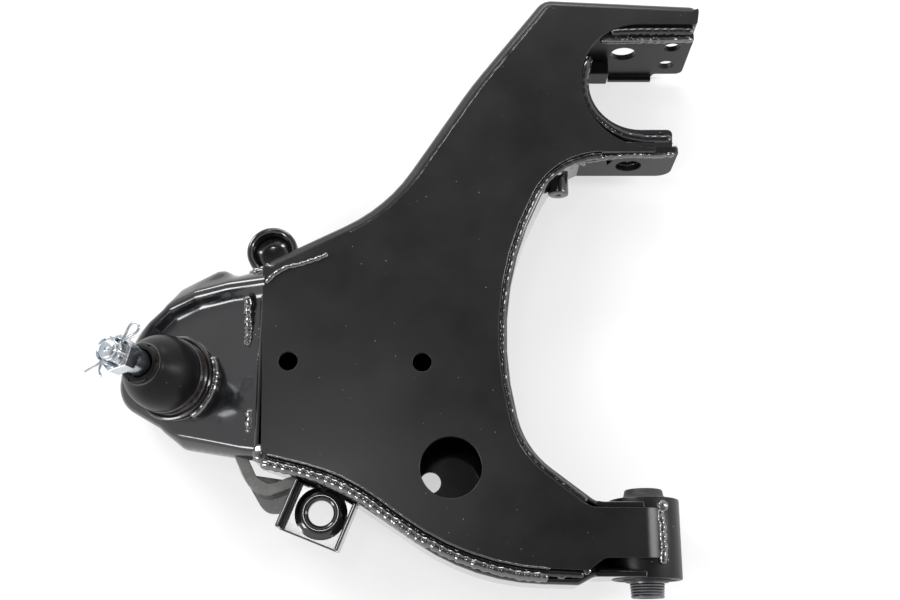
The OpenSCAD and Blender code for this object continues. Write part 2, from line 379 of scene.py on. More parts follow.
def newFinish(name, **constants):
    material = bpy.data.materials.new(name)
    material.use_nodes = True
    tree = material.node_tree
    shader = tree.nodes["Principled BSDF"]
    for socket, value in constants.items():
        shader.inputs[socket.replace("_", " ")].default_value = value
    return material, tree, shader, tree.nodes.new("ShaderNodeTexCoord").outputs["Object"]


def rampOf(tree, value, stops):
    ramp = tree.nodes.new("ShaderNodeValToRGB")
    while len(ramp.color_ramp.elements) < len(stops):
        ramp.color_ramp.elements.new(0.5)
    for element, (place, colour) in zip(ramp.color_ramp.elements, stops):
        element.position = place
        element.color = (*colour, 1)
    tree.links.new(value, ramp.inputs["Fac"])
    return ramp.outputs["Color"]


def mixColours(tree, share, first, second):
    mix = tree.nodes.new("ShaderNodeMix")
    mix.data_type = "RGBA"
    tree.links.new(share, mix.inputs["Factor"])
    for socket, value in ((mix.inputs[6], first), (mix.inputs[7], second)):
        if isinstance(value, tuple):
            socket.default_value = (*value, 1)
        else:
            tree.links.new(value, socket)
    return mix.outputs[2]


def spread(tree, value, low, high):
    # carries a 0.3 to 0.7 noise over to the wanted range
    node = tree.nodes.new("ShaderNodeMapRange")
    node.inputs["From Min"].default_value = 0.3
    node.inputs["From Max"].default_value = 0.7
    node.inputs["To Min"].default_value = low
    node.inputs["To Max"].default_value = high
    tree.links.new(value, node.inputs["Value"])
    return node.outputs["Result"]


def addBump(tree, shader, height, strength, distance):
    bump = tree.nodes.new("ShaderNodeBump")
    bump.inputs["Strength"].default_value = strength
    bump.inputs["Distance"].default_value = distance * mm
    tree.links.new(height, bump.inputs["Height"])
    tree.links.new(bump.outputs["Normal"], shader.inputs["Normal"])


def blackPaint(name, dark, pale, roughLow, roughHigh, speckShare=0.05, filmScale=14.0, grain=0.10,
               speckScale=420.0, **constants):
    # a film that clouds from dark to pale, with specks of dust on it
    material, tree, shader, place = newFinish(name, **constants)
    dust = tree.nodes.new("ShaderNodeGroup")
    dust.node_tree = dustAndFilm
    dust.inputs["Speck Scale"].default_value = speckScale
    dust.inputs["Speck Share"].default_value = speckShare
    dust.inputs["Film Scale"].default_value = filmScale
    tree.links.new(place, dust.inputs["Vector"])
    film = rampOf(tree, dust.outputs["Film"], [(0.35, dark), (0.68, pale)])
    colour = mixColours(tree, dust.outputs["Specks"], film, (0.42, 0.41, 0.40))
    tree.links.new(colour, shader.inputs["Base Color"])
    tree.links.new(spread(tree, dust.outputs["Film"], roughLow, roughHigh), shader.inputs["Roughness"])
    addBump(tree, shader, dust.outputs["Grain"], grain, 0.25)
    return material


def plated(name, cool, warm, roughLow, roughHigh, ringScale=700.0):
    # bare or plated metal, stained from cool to warm over fine turning rings
    material, tree, shader, place = newFinish(name, Metallic=1.0)
    marks = tree.nodes.new("ShaderNodeGroup")
    marks.node_tree = toolMarks
    marks.inputs["Ring Scale"].default_value = ringScale
    tree.links.new(place, marks.inputs["Vector"])
    colour = rampOf(tree, marks.outputs["Stains"], [(0.32, cool), (0.66, warm)])
    tree.links.new(colour, shader.inputs["Base Color"])
    tree.links.new(spread(tree, marks.outputs["Stains"], roughLow, roughHigh), shader.inputs["Roughness"])
    addBump(tree, shader, marks.outputs["Rings"], 0.12, 0.1)
    return material


satinPaint = blackPaint("satinPaint", (0.0055, 0.0055, 0.006), (0.011, 0.011, 0.0115), 0.26, 0.36,
                        speckShare=0.006, speckScale=850.0, Specular_IOR_Level=0.45)
dullPaint = blackPaint("dullPaint", (0.0045, 0.0045, 0.005), (0.009, 0.009, 0.0095), 0.28, 0.38,
                       speckShare=0.006, speckScale=850.0, Specular_IOR_Level=0.30)
glossPaint = blackPaint("glossPaint", (0.0045, 0.0045, 0.005), (0.008, 0.008, 0.009), 0.10, 0.18,
                        speckShare=0.006, filmScale=30.0, speckScale=850.0, grain=0.02,
                        Coat_Weight=0.8, Coat_Roughness=0.06)
weldPaint = blackPaint("weldPaint", (0.006, 0.006, 0.0065), (0.020, 0.019, 0.018), 0.07, 0.16,
                       speckShare=0.0, filmScale=120.0, grain=0.02, IOR=2.3,
                       Coat_Weight=0.5, Coat_Roughness=0.03)
# the spatter grains are real, but their pale grey is a painted glint, standing in for highlights on
# black-painted weld spatter
spatterGlintPaint = blackPaint("spatterGlintPaint", (0.08, 0.08, 0.085), (0.30, 0.30, 0.31), 0.10, 0.25,
                          speckShare=0.0, filmScale=90.0, Coat_Weight=1.0, Coat_Roughness=0.04)
socketPaint = blackPaint("socketPaint", (0.008, 0.007, 0.0065), (0.022, 0.018, 0.015), 0.16, 0.30,
                         filmScale=60.0, speckScale=900.0, Coat_Weight=0.6, Coat_Roughness=0.08)
# the strap's grey is painted sheen: a lighter copy of the arm's black paint, standing in for the light
# reflected off it
braceSheenPaint = blackPaint("braceSheenPaint", (0.085, 0.083, 0.079), (0.17, 0.166, 0.16), 0.22, 0.34,
                        speckShare=0.02, filmScale=40.0, speckScale=850.0)
coverRubber = blackPaint("coverRubber", (0.006, 0.006, 0.0065), (0.011, 0.011, 0.012), 0.28, 0.38,
                         speckShare=0.006, filmScale=45.0, grain=0.15, speckScale=900.0,
                         Specular_IOR_Level=0.16)
bushRubber = blackPaint("bushRubber", (0.012, 0.012, 0.012), (0.022, 0.021, 0.020), 0.45, 0.60,
                        speckShare=0.01, filmScale=60.0, grain=0.3, speckScale=900.0)
seatPlastic = blackPaint("seatPlastic", (0.62, 0.60, 0.55), (0.72, 0.70, 0.66), 0.35, 0.45,
                         speckShare=0.0)
brightZinc = plated("brightZinc", (0.36, 0.42, 0.48), (0.66, 0.67, 0.68), 0.10, 0.24)
machinedSteel = plated("machinedSteel", (0.10, 0.10, 0.108), (0.19, 0.19, 0.20), 0.28, 0.42,
                       ringScale=450.0)
darkSteel = plated("darkSteel", (0.05, 0.05, 0.055), (0.11, 0.10, 0.095), 0.25, 0.42)
print("finishes built")


# the pressed plate and shell

plateLook = {
    "rollWidth": 8.0, "rollSteps": 6, "edgeRound": 0.4, "drawTogether": 1.2,
    "rolledFrom": 204.0, "slantStart": (-190.0, 205.0), "slant": 0.62, "forkEnd": 426.5,
}


def onRolledSide(p):
    # the outer edge from the tip's corner round to the fork's end, beyond a slanting line
    startX, startY = plateLook["slantStart"]
    beyond = p.x < (p.y - startY * mm) * plateLook["slant"] + startX * mm
    return (p.y > plateLook["rolledFrom"] * mm and beyond) or p.y > plateLook["forkEnd"] * mm


foldLook = {"from": -4.5, "to": 9.6, "cuts": 7, "drop": 6.6, "power": 1.8, "reach": 28.0}


def foldLegEnd(plate):
    # the near leg's end bends down on to the pivot tube
    start, width = foldLook["from"], foldLook["to"] - foldLook["from"]
    for k in range(foldLook["cuts"]):
        openMesh(plate)
        bpy.ops.mesh.select_all(action="SELECT")
        cut = (start + width * k / foldLook["cuts"]) * mm
        bpy.ops.mesh.bisect(plane_co=(cut, 0, 0), plane_no=(1, 0, 0))
        closeMesh()
    for vertex in plate.data.vertices:
        share = (vertex.co.x / mm - start) / width
        if share > 0 and abs(vertex.co.y) < foldLook["reach"] * mm:
            vertex.co.z -= foldLook["drop"] * mm * share ** foldLook["power"]


def makePlate():
    plate = copyNode("upper_plate", "pressedPlate")
    drawTogether(plate, plateLook["drawTogether"])
    foldLegEnd(plate)

    def isRim(a, b):
        return min(a.z, b.z) > plateTop - 0.01 * mm and onRolledSide(a) and onRolledSide(b)

    rollEdges(plate, isRim, plateLook["rollWidth"], plateLook["rollSteps"])
    roundEdges(plate, plateLook["edgeRound"])
    finishPiece(plate, satinPaint, "arm", "arm_paint", "upper_plate")
    return plate


shellLook = {
    "floorRoll": 4.5, "floorSteps": 5, "shoulderRoll": 2.8, "shoulderSteps": 4, "shoulderReach": 9.0,
    "edgeRound": 0.5, "drawTogether": 1.1, "rolledTo": -36.0,
    "slotFrom": -75.0, "slotSides": (285.0, 330.0),
}


def isRollable(p):
    # not where the two legs are cut open, nor at the slot of the rear ear
    near, far = shellLook["slotSides"]
    atSlot = p.x > shellLook["slotFrom"] * mm and near * mm < p.y < far * mm
    return p.x < shellLook["rolledTo"] * mm and not atSlot


def makeShell():
    shell = copyNode("lower_shell", "boxShell")
    drawTogether(shell, shellLook["drawTogether"])
    low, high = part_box("lower_shell")
    points = shell.data.vertices
    walls = set()
    for face in shell.data.polygons:
        heights = [points[i].co.z for i in face.vertices]
        shoulder = high.z - shellLook["shoulderReach"] * mm
        tall = min(heights) < low.z + 0.1 * mm and max(heights) > shoulder
        if abs(face.normal.z) < 0.1 and tall:
            walls.update(frozenset(key) for key in face.edge_keys)

    def placeOf(a, b):
        return frozenset((tuple(round(v, 6) for v in a), tuple(round(v, 6) for v in b)))

    def wallEdges(height):
        # the walls' edges at one height, known by their place, because rolling renumbers them
        found = set()
        for edge in shell.data.edges:
            a, b = (points[i].co for i in edge.vertices)
            level = all(abs(p.z - height) < 0.05 * mm and isRollable(p) for p in (a, b))
            if level and frozenset(edge.vertices) in walls:
                found.add(placeOf(a, b))
        return found

    floorEdges, shoulderEdges = wallEdges(low.z), wallEdges(high.z)
    rollEdges(shell, lambda a, b: placeOf(a, b) in floorEdges, shellLook["floorRoll"],
              shellLook["floorSteps"])
    rollEdges(shell, lambda a, b: placeOf(a, b) in shoulderEdges, shellLook["shoulderRoll"],
              shellLook["shoulderSteps"])
    roundEdges(shell, shellLook["edgeRound"])
    finishPiece(shell, glossPaint, "arm", "arm_paint", "lower_shell")
    return shell


plate = makePlate()
shell = makeShell()
print("plate", len(plate.data.polygons), "faces, shell", len(shell.data.polygons), "faces")


# the pan that carries the socket

panLook = {
    "floor": -7.0, "foot": -26.0, "sheet": 3.6,
    "outline": [(96, -71), (4, -53), (-14, -37), (-53, -15), (-51, 12), (-36, 40), (-14, 57), (-3, 73),
                (33, 87), (46, 79), (96, 87)],
    "corners": [7, 8, 14, 26, 20, 25, 8, 14, 12, 15, 7],
    "crest": [(-34, 22), (-22, 44), (-8, 56), (16, 65), (44, 69), (70, 70), (96, 71)],
    "crestHeight": 7.0, "crestWidth": 8.5,
    "lowCrease": [(-60, -22), (-30, -34), (-6.5, -39.5), (15, -44), (37, -49), (58, -54), (96, -60)],
    "lowDrop": 9.0, "lowReach": 15, "edgeRoll": 6.0, "edgeReach": 7, "hollowDrop": 7.5,
    "gridSteps": (104, 120), "gridSize": (0.156, 0.180), "gridMiddle": (0.020, 0.008), "cutAt": -0.2865,
}


def roundedOutline(corners, radii):
    # arcs put in at each corner of a clockwise or anticlockwise outline
    line = []
    for k, radius in enumerate(radii):
        here = Vector(corners[k])
        back = (Vector(corners[k - 1]) - here).normalized()
        ahead = (Vector(corners[(k + 1) % len(corners)]) - here).normalized()
        half = back.angle(ahead) / 2
        reach = radius / math.tan(half)
        centre = here + (back + ahead).normalized() * (radius / math.sin(half))
        start = here + back * reach - centre
        finish = here + ahead * reach - centre
        turn = start.angle_signed(finish)
        steps = max(2, round(abs(turn) / math.radians(6)))
        for s in range(steps + 1):
            a = -turn * s / steps
            line.append(centre + Vector((start.x * math.cos(a) - start.y * math.sin(a),
                                         start.x * math.sin(a) + start.y * math.cos(a))))
    return line


def awayFrom(point, line, closed=False):
    # distance to a line of points, and which side of it the point is on
    best, side = 1e9, 1
    ends = list(zip(line, line[1:] + line[:1])) if closed else list(zip(line, line[1:]))
    for a, b in ends:
        along = b - a
        t = min(1.0, max(0.0, (point - a).dot(along) / along.length_squared))
        gap = point - (a + along * t)
        if gap.length < best:
            best = gap.length
            side = 1 if along.x * gap.y - along.y * gap.x > 0 else -1
    return best, side


def ease(value):
    value = min(1.0, max(0.0, value))
    return value * value * (3 - 2 * value)


def makePan():
    look = panLook
    outline = roundedOutline(look["outline"], look["corners"])
    crest = [Vector(p) for p in look["crest"]]
    crease = [Vector(p) for p in look["lowCrease"]]
    inwards = awayFrom(Vector((0, 0)), outline, True)[1]

    def heightAt(p):
        edge, edgeSide = awayFrom(p, outline, True)
        if edgeSide != inwards:
            edge = 0.0
        ridge = awayFrom(p, crest)[0]
        gap, side = awayFrom(p, crease)
        rise = look["crestHeight"] * math.exp(-(ridge / look["crestWidth"]) ** 2)
        drop = look["lowDrop"] * ease(gap / look["lowReach"]) if side < 0 else 0.0
        roll = look["edgeRoll"] * (1 - math.sqrt(1 - (1 - min(1.0, edge / look["edgeReach"])) ** 2))
        return look["floor"] + rise - drop - roll

    takeUp(plate)
    across, along = look["gridSteps"]
    bpy.ops.mesh.primitive_grid_add(x_subdivisions=across, y_subdivisions=along, size=1)
    pan = bpy.context.object
    pan.name = "socketPan"
    pan.scale = (*look["gridSize"], 1)
    pan.location = (*look["gridMiddle"], 0)
    bpy.ops.object.transform_apply(location=True, rotation=True, scale=True)
    openMesh(pan, "FACE")
    bpy.ops.mesh.select_all(action="SELECT")
    bpy.ops.mesh.extrude_region_move(TRANSFORM_OT_translate={"value": (0, 0, look["foot"] * mm)})
    bpy.ops.mesh.select_all(action="SELECT")
    bpy.ops.mesh.normals_make_consistent(inside=False)
    closeMesh()
    for vertex in pan.data.vertices:
        if vertex.co.z > -1 * mm:
            vertex.co.z = heightAt(Vector(vertex.co.xy) / mm) * mm
        else:
            vertex.co.z = (look["foot"] - 2) * mm

    def prism(name, line, low, high):
        takeUp(plate)
        bpy.ops.mesh.primitive_circle_add(vertices=len(line), radius=1, fill_type="NGON")
        block = bpy.context.object
        block.name = name
        for vertex, p in zip(block.data.vertices, line):
            vertex.co = (p.x * mm, p.y * mm, low * mm)
        openMesh(block, "FACE")
        bpy.ops.mesh.select_all(action="SELECT")
        bpy.ops.mesh.extrude_region_move(TRANSFORM_OT_translate={"value": (0, 0, (high - low) * mm)})
        bpy.ops.mesh.select_all(action="SELECT")
        bpy.ops.mesh.normals_make_consistent(inside=False)
        closeMesh()
        return block

    outside = prism("panTrim", outline, look["foot"], 30)
    useModifier(pan, "BOOLEAN", operation="INTERSECT", object=outside, solver="EXACT")
    for vertex in pan.data.vertices:      # the cut's own points get their true height on the rolled rim
        if vertex.co.z > (look["foot"] + 2) * mm:
            vertex.co.z = heightAt(Vector(vertex.co.xy) / mm) * mm
    inner = []
    for k, p in enumerate(outline):
        way = (outline[(k + 1) % len(outline)] - outline[k - 1]).normalized()
        inner.append(p + Vector((way.y, -way.x)) * look["sheet"])
    inside = prism("panHollow", inner, look["foot"] - 5, look["floor"] - look["hollowDrop"])
    useModifier(pan, "BOOLEAN", operation="DIFFERENCE", object=inside, solver="EXACT")
    for block in (outside, inside):
        bpy.data.objects.remove(block)
    settle(pan, tipPlace)
    openMesh(pan)
    bpy.ops.mesh.select_all(action="SELECT")
    bpy.ops.mesh.bisect(plane_co=(look["cutAt"], 0, 0), plane_no=(1, 0, 0), clear_outer=True, use_fill=True)
    bpy.ops.mesh.select_all(action="SELECT")
    bpy.ops.mesh.remove_doubles(threshold=0.01 * mm)
    closeMesh()
    smooth(pan, 42)
    finishPiece(pan, glossPaint, "arm", "arm_paint", "socket_pan")
    return pan


pan = makePan()
print("pan", len(pan.data.polygons), "faces")


# sheet pieces whose form stays, with their edges rounded

sheetPieces = {
    "fork_ear_front": ("frontEar", 0.4, dullPaint),
    "fork_ear_rear": ("rearEar", 0.5, dullPaint),
    "fork_stop_tab": ("stopTab", 0.9, dullPaint),
    "link_bracket": ("linkBracket", 1.3, glossPaint),
}
for node, (name, rounding, finish) in sheetPieces.items():
    piece = copyNode(node, name)
    roundEdges(piece, rounding)
    finishPiece(piece, finish, "arm", "arm_paint", node)

braceLook = {"bendRoll": 3.2, "bendSteps": 4, "bendFrom": -299.0, "bendTo": -270.0, "bendBelow": 48.0,
             "edgeRound": 0.5, "endFrom": 49.0, "endShift": (-4.0, 12.0)}


def makeBrace():
    # a strap whose bends are drawn out into one curve, its upper end carried on to the pan
    brace = copyNode("bracket_gusset", "braceGusset")
    for vertex in brace.data.vertices:
        if vertex.co.y > braceLook["endFrom"] * mm and vertex.co.z > 0:
            vertex.co.x += braceLook["endShift"][0] * mm
            vertex.co.y += braceLook["endShift"][1] * mm

    def isBend(a, b):
        upright = (a.xy - b.xy).length < 0.1 * mm and abs(a.z - b.z) > 2.5 * mm
        along = braceLook["bendFrom"] * mm < a.x < braceLook["bendTo"] * mm
        return upright and along and a.y < braceLook["bendBelow"] * mm

    rollEdges(brace, isBend, braceLook["bendRoll"], braceLook["bendSteps"])
    roundEdges(brace, braceLook["edgeRound"])
    # the strap takes the grey of painted sheen, not a colour of its own
    finishPiece(brace, braceSheenPaint, "arm", "arm_paint", "bracket_gusset")


makeBrace()

stopLook = {"centre": (-283.0, 219.0), "radius": 19.8, "wall": 5.2, "low": 2.2, "high": 24.4,
            "floor": 6.0, "cutPoint": (-290.5, 207.5), "cutWay": (0.44, -0.90)}


def makeStopCup():
    # a cup with a thick rolled wall, its open side let into the shell
    r, low, high = stopLook["radius"], stopLook["low"], stopLook["high"]
    bore, floor = r - stopLook["wall"], low + stopLook["floor"]
    cup = turned("stopCup", closedProfile([
        (0, low), (r - 1.6, low), (r - 0.4, low + 0.5), (r, low + 1.8), (r, high - 2.4),
        (r - 0.5, high - 0.9), (r - 1.6, high - 0.1), (r - 2.8, high), (bore + 1.0, high - 0.7),
        (bore + 0.2, high - 2.0), (bore, high - 3.6), (bore - 0.4, floor + 4.0),
        (bore - 3.2, floor + 0.9), (bore - 6.0, floor), (0, floor)]), 96)
    smooth(cup, 50)
    settle(cup, Matrix.Translation((*[v * mm for v in stopLook["centre"]], 0)))
    openMesh(cup)
    bpy.ops.mesh.select_all(action="SELECT")
    bpy.ops.mesh.bisect(plane_co=(*[v * mm for v in stopLook["cutPoint"]], 0),
                        plane_no=(*stopLook["cutWay"], 0), clear_outer=True, use_fill=True)
    closeMesh()
    smooth(cup, 50)
    finishPiece(cup, glossPaint, "arm", "arm_paint", "stop_bracket")


print("sheet pieces done")


# tube, bush and peg, all turned about the pivot axis

alongPivot = Matrix.Rotation(math.radians(-90), 4, "X")   # a turned piece's Z goes to +Y
tubeLow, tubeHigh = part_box("bush_tube")
tubeLook = {"radius": (tubeHigh.x - tubeLow.x) / 2 / mm, "wall": 4.0, "half": tubeHigh.y / mm}


def makeTube():
    r, half = tubeLook["radius"], tubeLook["half"]
    bore = r - tubeLook["wall"]
    piece = turned("pivotTube", closedProfile([
        (bore, -half + 1.0), (bore + 0.8, -half + 0.1), (r - 1.2, -half), (r - 0.3, -half + 0.4),
        (r, -half + 1.4), (r, half - 1.4), (r - 0.3, half - 0.4), (r - 1.2, half),
        (bore + 0.8, half - 0.1), (bore, half - 1.0)]), 128)
    settle(piece, alongPivot)
    finishPiece(piece, dullPaint, "arm", "arm_paint", "bush_tube")


bushLook = {
    "radius": 13.05, "barRadius": 13.0, "boreRadius": 7.25,
    "ridges": 10, "ridgeFrom": 12.3, "ridgeGrowth": 0.7, "ridgeDepth": 0.55, "ridgePitch": 1.0,
}


def makeBush():
    half = tubeLook["half"]
    bore = tubeLook["radius"] - tubeLook["wall"]
    liner = turned("bushLiner", closedProfile([
        (bore - 1.5, -half + 1.6), (bore - 1.1, -half + 1.0), (bore - 0.05, -half + 1.0),
        (bore - 0.05, half - 1.0), (bore - 1.1, half - 1.0), (bore - 1.5, half - 1.6)]), 96)
    settle(liner, alongPivot)
    finishPiece(liner, machinedSteel, "arm", "bare_steel", "bush_outer_shell")
    inner = bushLook["radius"]
    rubber = turned("bushRubberRing", closedProfile([
        (inner, -half - 1.4), (15.4, -half - 1.6), (16.9, -half - 0.9), (17.4, -half + 0.6),
        (16.9, -half + 2.4), (18.6, -half + 4.0), (20.45, -half + 4.4), (20.45, half - 4.4),
        (18.8, half - 3.6), (17.8, half - 1.4), (17.2, half + 1.0), (15.9, half + 2.2),
        (14.9, half + 3.2), (14.5, half + 5.2), (14.2, half + 6.8), (13.6, half + 7.6),
        (inner, half + 7.7)]), 96)
    smooth(rubber, 50)
    settle(rubber, alongPivot)
    finishPiece(rubber, bushRubber, "arm", "bush_rubber", "bush_rubber")
    # the sleeve: a stepped end face, serrations that grow towards the tube, then a plain bar
    near, far = (v.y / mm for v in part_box("bush_inner_sleeve"))
    bore, bar = bushLook["boreRadius"], bushLook["barRadius"]
    face = [(bore, near + 0.8), (7.9, near + 0.1), (9.2, near), (9.4, near + 0.5), (10.6, near + 0.5),
            (10.8, near), (11.7, near + 0.1), (12.1, near + 0.6)]
    ridges = []
    for k in range(bushLook["ridges"]):
        crest = bushLook["ridgeFrom"] + bushLook["ridgeGrowth"] * k / (bushLook["ridges"] - 1)
        ridges.append((crest - (bushLook["ridgeDepth"] if k % 2 else 0.0),
                       near + 1.3 + bushLook["ridgePitch"] * k))
    rest = [(bar, near + 12.0), (bar, far - 1.0), (12.4, far - 0.2), (8.0, far), (bore, far - 0.8)]
    sleeve = turned("bushSleeve", closedProfile(face + ridges + rest), 96)
    settle(sleeve, alongPivot)
    finishPiece(sleeve, machinedSteel, "bush_sleeve", "bare_steel", "bush_inner_sleeve")


pegLook = {"letIn": 3}


def makePeg():
    # a round peg with a dished face, its root let into the ear
    low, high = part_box("stop_peg")
    r = (high.x - low.x) / 2 / mm
    middle = Vector(((low.x + high.x) / 2, 0, (low.z + high.z) / 2))
    start, end = low.y / mm, high.y / mm + pegLook["letIn"]
    piece = turned("stopPeg", [
        (0, start + 1.0), (1.6, start + 0.9), (2.4, start + 0.1), (3.4, start), (r - 1.2, start),
        (r - 0.35, start + 0.35), (r, start + 1.2), (r, end), (0, end)], 64)
    settle(piece, Matrix.Translation(middle) @ alongPivot)
    finishPiece(piece, glossPaint, "arm", "arm_paint", "stop_peg")


makeStopCup()
makeTube()
makeBush()
makePeg()
print("tube, bush and peg done")


# the socket joint, turned about the stud

socketLook = {"bodyRadius": 30.0, "flangeRadius": 33.2, "foot": -24.0}


def makeSocket():
    r, f, foot = socketLook["bodyRadius"], socketLook["flangeRadius"], socketLook["foot"]
    body = turned("socketBody", closedProfile([
        (21.6, foot - 0.5), (23.5, foot - 1.0), (26.0, foot - 0.9), (28.6, foot - 0.3),
        (r - 0.4, foot + 0.6), (r, foot + 2.0), (r, -8.2), (f - 0.8, -7.8), (f, -6.8), (f, -4.2),
        (f - 0.6, -3.2), (f - 1.8, -2.7), (f - 2.8, -3.4), (f - 4.0, -3.6), (f - 4.9, -2.4),
        (27.4, -0.4), (27.0, 2.6), (26.3, 3.6), (24.6, 4.0), (24.4, 8.6), (14.2, 9.0), (14.2, 7.6),
        (19.4, 7.4), (19.4, -20.6), (22.9, -20.9), (22.9, foot + 0.2), (21.6, foot)]), 128)
    smooth(body, 40)
    settle(body, tipPlace)
    finishPiece(body, socketPaint, "arm", "joint_paint", "ball_housing")
    cap = turned("socketCap", [
        (0, foot + 0.9), (6.0, foot + 0.9), (7.2, foot + 0.3), (17.6, foot + 0.3), (19.0, foot + 0.9),
        (22.8, foot + 0.9), (22.8, -21.1), (0, -21.1)], 96)
    settle(cap, tipPlace)
    finishPiece(cap, socketPaint, "arm", "joint_paint", "housing_cap")


coverLook = {
    "split": 26.0, "wall": 2.6,
    "outside": [(27.2, 4.3), (28.3, 5.2), (28.6, 7.5), (29.0, 10.5), (29.0, 14.0), (28.5, 18.0),
                (27.6, 22.0), (26.2, 26.0), (24.1, 30.0), (21.4, 34.0), (18.6, 37.3), (16.6, 39.4),
                (15.8, 40.6)],
    "collar": [(15.5, 41.4), (15.6, 43.8), (15.2, 45.0), (14.4, 45.6), (13.4, 45.8), (11.2, 45.9),
               (10.6, 45.4), (10.5, 42.0)],
    "notchDepth": 1.3,
    # each clip: its radius, first height, rise a turn, turns, steps and half thickness
    "footClip": (28.9, 5.3, 0.75, 1.9, 160, 0.62),
    "neckClip": (15.75, 42.3, 0.5, 2.1, 130, 0.42),
}


def makeClip(name, radius, height, rise, turns, steps, half):
    # a ring of wire wound about the cover
    line = []
    for k in range(steps + 1):
        a = 2 * math.pi * turns * k / steps
        climb = height + rise * a / (2 * math.pi)
        line.append(Vector((radius * math.cos(a), radius * math.sin(a), climb)) * mm)
    clip = tube(name, line, [half * mm] * len(line), 2)
    settle(clip, tipPlace)
    return clip


def makeCover():
    outside = [p.xy for p in curveThrough([(r, z, 0) for r, z in coverLook["outside"]], 0.9)]
    inside = []
    for k, p in enumerate(outside):
        way = (outside[min(k + 1, len(outside) - 1)] - outside[max(k - 1, 0)]).normalized()
        inside.append(p + Vector((-way.y, way.x)) * coverLook["wall"])
    cut = min(range(len(outside)), key=lambda k: abs(outside[k].y - coverLook["split"]))
    lower = [tuple(p) for p in outside[:cut + 1]] + [tuple(p) for p in reversed(inside[:cut + 1])]
    # above the split comes the collar that grips the stud
    upper = [tuple(p) for p in outside[cut:]] + coverLook["collar"]
    upper += [tuple(p) for p in reversed(inside[cut:])]
    skirt = turned("coverSkirt", closedProfile(lower), 128)
    crown = turned("coverCrown", closedProfile(upper), 128)
    openMesh(crown, "FACE")
    bpy.ops.mesh.select_all(action="DESELECT")
    closeMesh()
    for face in crown.data.polygons:      # six small notches round the collar's top
        reach = face.center.xy.length / mm
        turn = math.degrees(math.atan2(face.center.y, face.center.x)) % 60
        onTop = 13.4 < reach < 15.4 and face.center.z > 44.6 * mm and face.normal.z > 0.2
        face.select = onTop and (turn < 4 or turn > 57)
    bpy.ops.object.mode_set(mode="EDIT")
    bpy.ops.mesh.inset(thickness=0.12 * mm, depth=0)
    bpy.ops.mesh.extrude_region_move(
        TRANSFORM_OT_translate={"value": (0, 0, -coverLook["notchDepth"] * mm)})
    closeMesh()
    for piece in (skirt, crown):
        smooth(piece, 42)
        settle(piece, tipPlace)
        piece.data.materials.clear()
        piece.data.materials.append(coverRubber)

    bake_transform(skirt)
    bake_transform(crown)
    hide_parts("boot")
    footClip = makeClip("coverClip", *coverLook["footClip"])
    finishPiece(footClip, darkSteel, "arm", "ring_steel", "boot_base_ring")
    neckClip = makeClip("coverNeckClip", *coverLook["neckClip"])
    finishPiece(neckClip, darkSteel, "boot_collar", "boot_rubber", "boot_neck_ring")


studLook = {
    "ball": 14.98, "ballSteps": range(0, 149, 6),
    "shank": [(7.6, 14.0), (7.6, 20.0), (9.0, 28.0), (9.0, 39.0), (9.6, 42.5), (10.2, 44.0), (8.4, 63.0),
              (8.1, 64.2), (7.1, 64.8), (7.1, 86.4), (6.6, 87.4), (5.6, 88.0), (2.2, 88.0), (1.4, 87.2),
              (0, 86.6)],
    "pitch": 1.5, "threadFrom": 64.9, "threadTo": 86.6, "threadRadius": 7.35, "ridge": 0.66,
    "turnSteps": 48,
}


def makeStud():
    ball = []
    for degrees in studLook["ballSteps"]:
        a = math.radians(degrees)
        ball.append((studLook["ball"] * math.sin(a), -studLook["ball"] * math.cos(a)))
    stud = turned("ballStud", ball + studLook["shank"], 96)
    settle(stud, tipPlace)
    finishPiece(stud, brightZinc, "stud", "zinc", "ball_stud")
    # the thread: a ridge wound along the shank, run out at both ends
    pitch, start, steps = studLook["pitch"], studLook["threadFrom"], studLook["turnSteps"]
    turns = int((studLook["threadTo"] - start) / pitch)
    radius = studLook["threadRadius"]
    points = []
    for k in range(turns * steps + 1):
        a = 2 * math.pi * k / steps
        climb = start + pitch * k / steps
        points.append(Vector((radius * math.cos(a), radius * math.sin(a), climb)) * mm)
    last = len(points) - 1
    radii = []
    for k in range(last + 1):
        radii.append(studLook["ridge"] * mm * min(1.0, 0.2 + 0.02 * k, 0.2 + 0.02 * (last - k)))
    thread = tube("studThread", points, radii, 1)
    settle(thread, tipPlace)
    finishPiece(thread, brightZinc, "stud", "zinc")


nutLook = {"edgeRound": 0.35, "roundSteps": 2, "sharpFrom": 25}


def makeNut():
    nut = copyNode("castle_nut", "castleNut")
    roundEdges(nut, nutLook["edgeRound"], nutLook["roundSteps"], nutLook["sharpFrom"])
    finishPiece(nut, brightZinc, "stud", "zinc", "castle_nut")


pinLook = {
    "turn": 44.0, "height": 81.0, "wire": 0.95,
    "line": [(-25.5, 4.6, 1.2), (-19.0, 3.0, 0.6), (-13.5, 1.2, 0), (-10, 0.95, 0), (0, 0.95, 0),
             (11.5, 0.95, 0), (15.5, 1.6, 0), (19.5, 3.4, 0), (23.0, 3.9, 0), (25.8, 2.6, 0),
             (26.6, 0, 0), (25.8, -2.6, 0), (23.0, -3.9, 0), (19.5, -3.4, 0), (15.5, -1.6, 0),
             (11.5, -0.95, 0), (0, -0.95, 0), (-10, -0.95, 0), (-13.5, -1.6, 0), (-16.5, -4.4, -0.8),
             (-18.5, -8.0, -1.6)],
}


